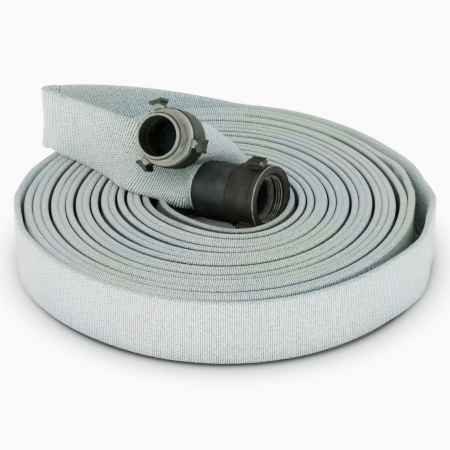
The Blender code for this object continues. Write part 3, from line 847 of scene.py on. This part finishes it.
def join_lugs(mesh, lugs):
    """The turned ring with its three lugs, as one closed mesh."""
    tip, low, high, first = lugs
    body = bpy.data.objects.new("ring", mesh)
    bpy.context.scene.collection.objects.link(body)
    tools = []
    for i in range(3):
        tool = bpy.data.objects.new("lug", lug_mesh(tip, low, high, first + 120 * i))
        bpy.context.scene.collection.objects.link(tool)
        boolean = body.modifiers.new("lug", "BOOLEAN")
        boolean.object, boolean.operation, boolean.solver = tool, "UNION", "EXACT"
        tools.append(tool)
    graph = bpy.context.evaluated_depsgraph_get()
    joined = bpy.data.meshes.new_from_object(body.evaluated_get(graph), depsgraph=graph)
    for obj in (*tools, body):
        bpy.data.objects.remove(obj)
    return joined


def finish_coupling(mesh, name, matrix, wear, body, material, node):
    """Give a coupling's mesh its wear, place and smooth shading, and let it replace a CAD node."""
    shade = mesh.attributes.new("wear", "FLOAT", "POINT")
    values = [wear(math.hypot(v.co.x, v.co.y) / MM, v.co.z / MM) for v in mesh.vertices]
    shade.data.foreach_set("value", np.array(values, dtype=np.float32))
    mesh.transform(matrix)
    mesh.name = name
    mesh.shade_smooth()
    mesh.set_sharp_from_angle(angle=SHARP_ANGLE)
    mesh.materials.clear()
    piece = add_piece(mesh, name, body, material)
    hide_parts(node)


# Wear is from 0, coated, to 1, bare, at a radius and z in millimetres in the coupling's frame


def male_wear(radius, z):
    """Bare nipple, thread crests and flange, and the front of the lugs' feet."""
    in_lug, in_bowl, in_bore = radius > 32, z <= 33.4, radius <= 21.2
    if in_lug:
        return 0.8 * ramp(z, 37.2, 38.4) * (1 - ramp(radius, 34.6, 36.2))
    if in_bowl:
        return 0.4 * ramp(z, 31.8, 33.0)
    if in_bore:
        return 0
    crest = ramp(radius, 24.2, 25.2) if 40 < z < 55 else 1
    return 1.1 * crest - 0.15


def bowl_wear(radius, z):
    """Rubbed shoulder and tail rim."""
    shoulder = 0.5 * ramp(z, 41.6, 43) if radius > 29 else 0
    return shoulder + 0.45 * ramp(1.2 - z, 0, 1)


def swivel_wear(radius, z):
    """Rubbed rim and mouth of the face, thread crests, and the lugs' tips and front ends."""
    in_lug, in_thread = radius > 36.2, radius < 26
    if in_lug:
        return 0.42 * ramp(z, 77.2, 78) + 0.30 * ramp(radius, 42.6, 43.4)
    if in_thread:
        return 0.75 * ramp(25.0 - radius, 0, 0.9)
    rim = ramp(z, 79.2, 80.3) * ramp(radius, 34.2, 34.9)
    mouth = ramp(z, 79.6, 80.4) * ramp(27.6 - radius, 0, 0.8)
    return 0.62 * rim + 0.40 * mouth


def make_male():
    """The male coupling, one turned piece with its lugs."""
    name = "male_coupling_look"
    mesh = join_lugs(turned_mesh(name, MALE_PROFILE, MALE_THREAD), MALE_LUGS)
    coat = coupling_material("male_coat", MALE_COAT, MALE_BARE, brownness=0.15)
    finish_coupling(mesh, name, male_matrix, male_wear, "root", coat, "male_coupling")


def make_female():
    """The female coupling: a bowl that stays, and a swivel that spins on it."""
    name = "female_bowl_look"
    mesh = turned_mesh(name, FEMALE_BOWL_PROFILE, NO_THREAD)
    coat = coupling_material("female_bowl_coat", BOWL_COAT, BOWL_BARE, brownness=0.2)
    finish_coupling(mesh, name, female_matrix, bowl_wear, "root", coat, "female_bowl")
    name, body = "female_swivel_look", "female_swivel_body"
    mesh = join_lugs(turned_mesh(name, SWIVEL_PROFILE, SWIVEL_THREAD), SWIVEL_LUGS)
    coat = coupling_material("female_swivel_coat", SWIVEL_COAT, SWIVEL_BARE, brownness=0.5)
    finish_coupling(mesh, name, female_matrix, swivel_wear, body, coat, "female_swivel")


# Finishes of the CAD nodes that stay: words in a node's name, then the finish's name, colour,
# roughness, metallic share, patch scale and second colour; a node takes the first row that fits
NODE_FINISHES = (
    (("ball_race",), "plug_steel", (0.024, 0.022, 0.018), 0.45, 0.4, 90, (0.05, 0.045, 0.035)),
    (("swivel_ball",), "ball_steel", (0.55, 0.55, 0.55), 0.25, 1, 200, (0.4, 0.4, 0.4)),
    (("swivel_gasket",), "worn_rubber", (0.05, 0.05, 0.048), 0.5, 0, 90, (0.11, 0.11, 0.10)),
    (("gasket", "liner"), "black_rubber", (0.010, 0.010, 0.011), 0.6, 0, 60, (0.02, 0.02, 0.02)),
    (("ring",), "dark_brass", (0.06, 0.045, 0.02), 0.5, 0.7, 90, (0.02, 0.016, 0.01)),
    (("jacket",), "inner_cloth", (0.42, 0.41, 0.35), 0.9, 0, 300, (0.3, 0.3, 0.26)),
)


def finish_nodes():
    """Better materials for the CAD nodes that stay."""
    finishes = [(words, grainy_material(*finish)) for words, *finish in NODE_FINISHES]
    for node in frame["nodes"]:
        fitting = [material for words, material in finishes if any(w in node for w in words)]
        if not fitting:
            continue
        for material_slot in bpy.data.objects[node].material_slots:
            material_slot.material = fitting[0]


# ---------------------------------------------------------------- studio

FLOOR_SIZE = 4
FLOOR_DROP = 0.3 * MM
FLOOR_GLOW = 9.0
WORLD_STRENGTH = 1.95
# Distances from the middle over which the floor turns from one tone to the next
HOLE_EDGE = (0.09, 0.12)
ROLL_EDGE = (0.209, 0.222)
GLOW_EDGE = (0.216, 0.256)
# Floor tones: painted shadow in the hole and under the roll, and the open floor
SHADOW_IN_HOLE = (0.5, 0.5, 0.45)
SHADOW_UNDER_ROLL = (0.1, 0.1, 0.1)
OPEN_FLOOR = (0.93, 0.93, 0.93)


def make_floor():
    """A pale floor with painted shadow under the roll and in the hole, that glows to white away
    from it.
    """
    bm = bmesh.new()
    bmesh.ops.create_grid(bm, x_segments=1, y_segments=1, size=FLOOR_SIZE)
    mesh = bpy.data.meshes.new("floor")
    bm.to_mesh(mesh)
    bm.free()
    n = Nodes("floor")
    n.shader.inputs["Emission Color"].default_value = (1, 1, 1, 1)
    far = n.add("ShaderNodeVectorMath", operation="LENGTH")
    n.feed(far.inputs[0], n.place())
    distance = far.outputs["Value"]
    glow = n.ramp(distance, *GLOW_EDGE)
    # Painted shadow on the floor: grey in the hole, dark under the roll
    near = n.mix(n.ramp(distance, *HOLE_EDGE), SHADOW_IN_HOLE, SHADOW_UNDER_ROLL)
    n.set(Base_Color=n.mix(n.ramp(distance, *ROLL_EDGE), near, OPEN_FLOOR), Roughness=0.9)
    n.set(Emission_Strength=n.math("MULTIPLY", glow, FLOOR_GLOW))
    mesh.materials.append(n.material)
    floor = bpy.data.objects.new("floor", mesh)
    floor.location.z = cad_bounds[0][2] - FLOOR_DROP
    bpy.context.scene.collection.objects.link(floor)


def add_area(name, place, size, power):
    """A square soft light, aimed at the middle of the frame."""
    light = bpy.data.objects.new(name, bpy.data.lights.new(name, "AREA"))
    light.data.energy = power
    light.data.size = size
    light.location = place
    light.rotation_euler = (-Vector(place)).to_track_quat("-Z", "Y").to_euler()
    bpy.context.scene.collection.objects.link(light)


def make_lights():
    """A bright white surround with two soft lights."""
    world = bpy.data.worlds.new("studio")
    world.use_nodes = True
    background = world.node_tree.nodes["Background"]
    background.inputs["Color"].default_value = (1, 1, 1, 1)
    background.inputs["Strength"].default_value = WORLD_STRENGTH
    bpy.context.scene.world = world
    add_area("key", (-0.9, -1.2, 1.6), 1.2, 15)
    add_area("fill", (1.4, -0.9, 1.1), 1.4, 9)


make_floor()
make_lights()
hose = make_hose()
make_male()
make_female()
finish_nodes()
